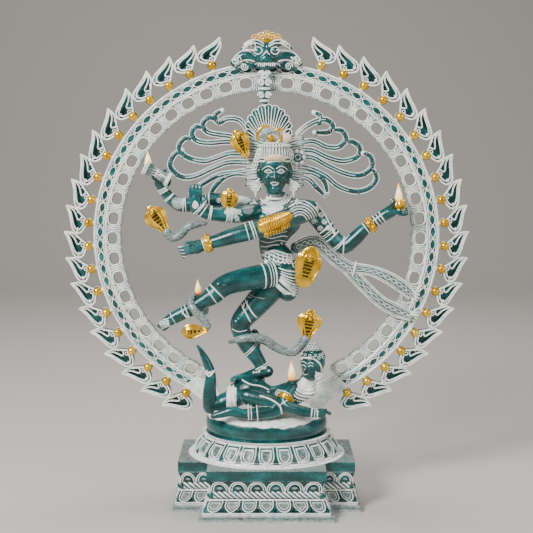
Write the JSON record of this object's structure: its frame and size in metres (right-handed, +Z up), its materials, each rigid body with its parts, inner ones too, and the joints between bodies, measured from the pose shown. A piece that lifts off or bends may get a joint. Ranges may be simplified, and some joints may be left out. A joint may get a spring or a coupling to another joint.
{
  "type": "dancing deity statue",
  "caption": "Cast brass dancing four-armed figure on a small reclining figure, inside a round arch of flames, on a lotus and stepped pedestal.",
  "frame": {"origin": "on the floor under the middle of the pedestal", "axes": "+Z up, +X to the right of someone facing the statue, -Y towards the viewer"},
  "size_m": [0.4156, 0.14, 0.4756],
  "materials": {
    "verdigris": "deep teal patina with a soft satin shine, chalk white left in the creases",
    "whitewashed_verdigris": "teal patina dry-brushed with chalky white over all the relief",
    "gold_brass": "bright yellow brass with olive brown in the hollows",
    "steel": "plain zinc plated",
    "lamp_flame": "glowing clear amber"
  },
  "bodies": {
    "root": {"pedestal": "verdigris", "rope_moulding": "whitewashed_verdigris", "lotus_base": "whitewashed_verdigris", "seat_cushion": "verdigris", "base_bolts": "steel", "base_washers": "steel", "dwarf_body": "verdigris", "dwarf_head": "verdigris", "dwarf_arm": "verdigris", "dwarf_armlet": "gold_brass", "dwarf_raised_leg": "verdigris", "dwarf_folded_leg": "verdigris", "standing_leg": "verdigris", "raised_leg": "verdigris", "torso": "verdigris", "necklace": "whitewashed_verdigris", "head": "verdigris", "earrings": "whitewashed_verdigris", "hip_cloth": "whitewashed_verdigris", "sash": "whitewashed_verdigris", "crown_cap": "whitewashed_verdigris", "feather_fan": "whitewashed_verdigris", "crown_crescent": "gold_brass", "hair_left": "whitewashed_verdigris", "hair_right": "whitewashed_verdigris", "drum_arm": "verdigris", "drum": "verdigris", "blessing_arm": "verdigris", "crossing_arm": "verdigris", "flame_arm": "verdigris", "fire_bowl": "gold_brass", "ribbed_armlet": "gold_brass", "crossing_bangle": "gold_brass", "flame_bangle": "gold_brass", "leg_serpent": "verdigris", "leg_serpent_hood": "gold_brass", "ankle_serpent": "verdigris", "ankle_serpent_hood": "gold_brass", "arm_serpent": "whitewashed_verdigris", "arm_serpent_hood": "gold_brass", "waist_serpent_hood": "gold_brass", "hair_serpent_hood": "gold_brass", "shoulder_serpent_hood": "gold_brass", "figure_dowel": "steel", "arch_band": "whitewashed_verdigris", "arch_rims": "whitewashed_verdigris", "arch_flames": "whitewashed_verdigris", "arch_beads": "gold_brass", "arch_pins": "steel", "lion_mask": "verdigris", "mask_crown": "gold_brass", "mask_pendant": "verdigris", "drum_flame": "lamp_flame", "hand_flame": "lamp_flame", "ankle_flame": "lamp_flame", "dwarf_flame": "lamp_flame"}
  },
  "joints": []
}
